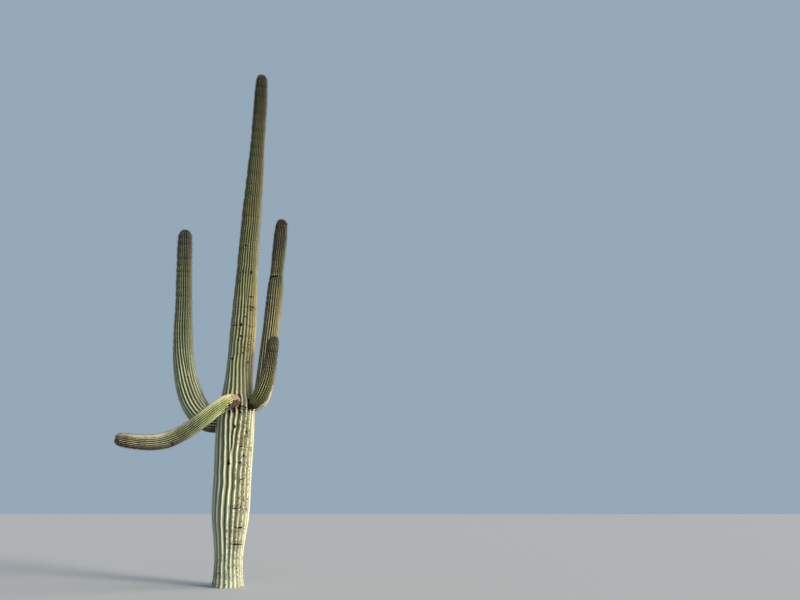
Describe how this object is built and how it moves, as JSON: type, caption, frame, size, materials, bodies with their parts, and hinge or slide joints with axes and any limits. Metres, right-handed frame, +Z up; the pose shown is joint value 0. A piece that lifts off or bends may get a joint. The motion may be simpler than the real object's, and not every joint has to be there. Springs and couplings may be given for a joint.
{
  "type": "saguaro cactus",
  "caption": "Tall ribbed columnar cactus with a spindle-shaped trunk, two upright side arms, a short upturned arm and a drooping front arm.",
  "frame": {"origin": "middle of the flat cut under the trunk, at ground level", "axes": "+Z up along the trunk, +X to the right and +Y away as seen from the front, where the long left arm is on -X"},
  "size_m": [2.6021, 2.1002, 11.02],
  "materials": {
    "trunk_skin": "matt waxy cactus skin, pale crests and dark valleys",
    "arm_skin": "matt waxy cactus skin, green, browner towards the tips"
  },
  "bodies": {
    "root": {"trunk": "trunk_skin", "left_arm_elbow": "arm_skin", "left_arm_upright": "arm_skin", "front_arm_root": "arm_skin", "front_arm_reach": "arm_skin", "back_right_arm_elbow": "arm_skin", "back_right_arm_upright": "arm_skin", "front_right_arm_elbow": "arm_skin", "front_right_arm_upright": "arm_skin"}
  },
  "joints": []
}
